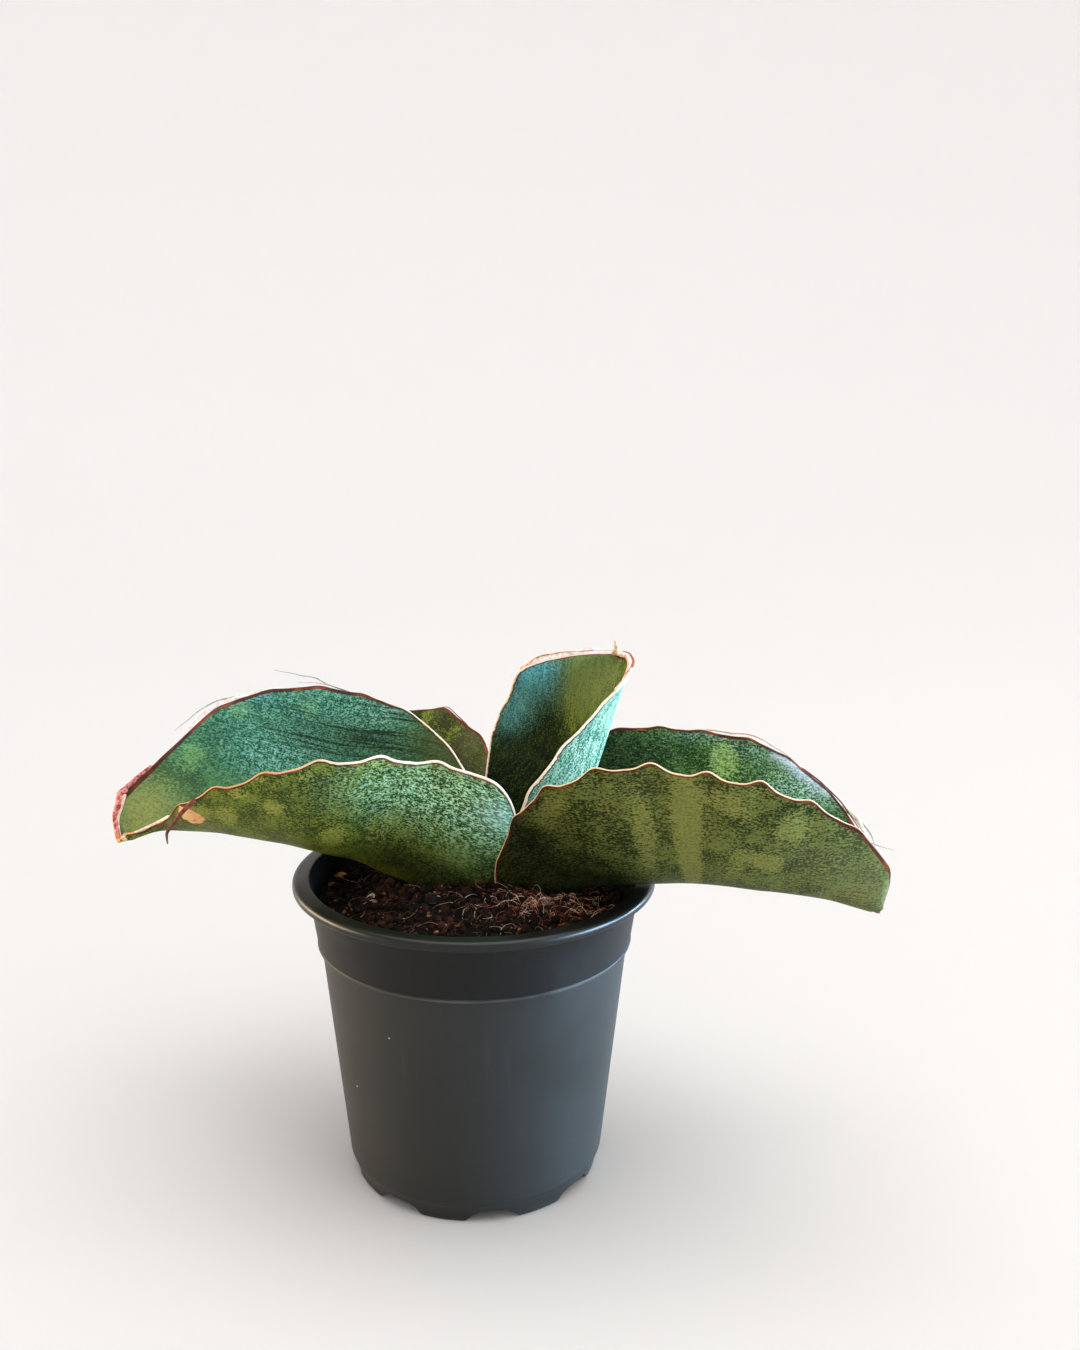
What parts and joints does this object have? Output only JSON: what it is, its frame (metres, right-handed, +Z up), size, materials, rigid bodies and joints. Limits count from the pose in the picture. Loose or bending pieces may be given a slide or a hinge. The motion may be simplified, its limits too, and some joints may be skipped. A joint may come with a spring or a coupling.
{
  "type": "potted snake plant",
  "caption": "Young wide-leaved snake plant with boat-shaped, wavy-edged leaves, growing in peat in a round plastic nursery pot.",
  "frame": {"origin": "middle of the pot's underside, in the plane that it stands on", "axes": "+Z up along the pot's axis; +X to the right as seen from the front, along the line of the two large leaves; the front is -Y"},
  "size_m": [0.2702, 0.1524, 0.1913],
  "materials": {
    "pot": "satin charcoal polypropylene",
    "soil": "rough dark peat with coir fibres",
    "leaf": "waxy leaf, dark green with pale cross bands and a cream and red-brown edge"
  },
  "bodies": {
    "root": {"pot": "pot", "soil": "soil", "leaf_left": "leaf", "leaf_right": "leaf", "leaf_centre": "leaf", "leaf_back": "leaf"}
  },
  "joints": []
}
